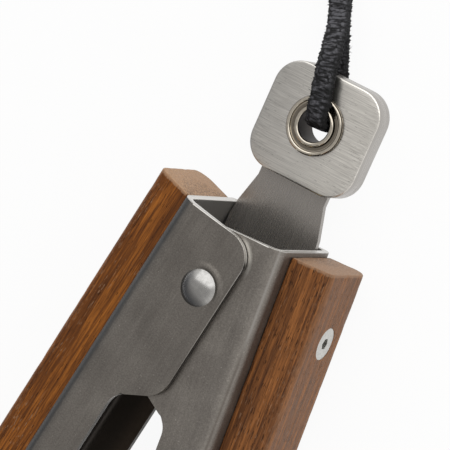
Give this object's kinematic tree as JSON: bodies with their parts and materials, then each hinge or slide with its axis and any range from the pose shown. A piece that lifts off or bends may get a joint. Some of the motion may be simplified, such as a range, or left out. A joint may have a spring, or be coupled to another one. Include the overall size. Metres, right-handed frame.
{
  "type": "locking kitchen tongs",
  "caption": "Locking kitchen tongs with folded steel arms, scalloped jaws, wooden grips, a sliding pull-tab lock and a leather hanging thong, lying flat and sprung open.",
  "frame": {"origin": "on the rivet's axis, at the flat tail head that rests on the table", "axes": "+Z is the rivet's axis, up from the table; +Y runs from the jaws to the pull tab; +X is across, towards the right arm"},
  "size_m": [0.1029, 0.4735, 0.0362],
  "materials": {
    "arm_steel": "satin, finely brushed",
    "tab_steel": "brushed across its width",
    "plate_steel": "satin",
    "rivet_steel": "smooth satin",
    "screw_steel": "turned, bright",
    "nut_steel": "plain",
    "spring_steel": "oil blackened",
    "bush_brass": "turned",
    "nickel": "nickel plated, polished",
    "left_wood": "oiled, open grain",
    "right_wood": "oiled, open grain",
    "leather": "matt, grained, cut edges rough"
  },
  "bodies": {
    "left": {"left_arm": "arm_steel", "left_grip": "left_wood", "left_grip_screws": "screw_steel", "left_grip_nuts": "nut_steel", "pivot_rivet": "rivet_steel", "return_spring": "spring_steel"},
    "right": {"right_arm": "arm_steel", "right_grip": "right_wood", "right_grip_screws": "screw_steel", "right_grip_nuts": "nut_steel"},
    "bush": {"pivot_bush": "bush_brass", "thrust_washers": "nut_steel"},
    "lock": {"lock_plate": "plate_steel", "tab_upper_scale": "tab_steel", "tab_lower_scale": "tab_steel", "eyelet": "nickel", "eyelet_washer": "nickel", "thong_upper": "leather", "thong_lower": "leather", "thong_knot": "leather"}
  },
  "joints": [
    {"name": "arm_hinge", "type": "hinge", "parent": "left", "child": "right", "pos_m": [0, 0, 0], "axis": [0, 0, -1], "range_deg": [0, 13], "stiffness_Nm_per_rad": 1.5, "springref_deg": -8.59, "deforming": ["return_spring"]},
    {"name": "lock_swing", "type": "hinge", "parent": "left", "child": "bush", "pos_m": [0, 0, 0], "axis": [0, 0, -1], "range_deg": [0, 6.5]},
    {"name": "lock_slide", "type": "slide", "parent": "bush", "child": "lock", "axis": [-0.048, 0.9988, 0], "range_m": [0, 0.014]}
  ],
  "couplings": [
    {"joint": "lock_swing", "follows": "arm_hinge", "ratio": 0.5},
    {"joint": "lock_slide", "follows": "arm_hinge", "m_per_rad": 0.0617}
  ]
}
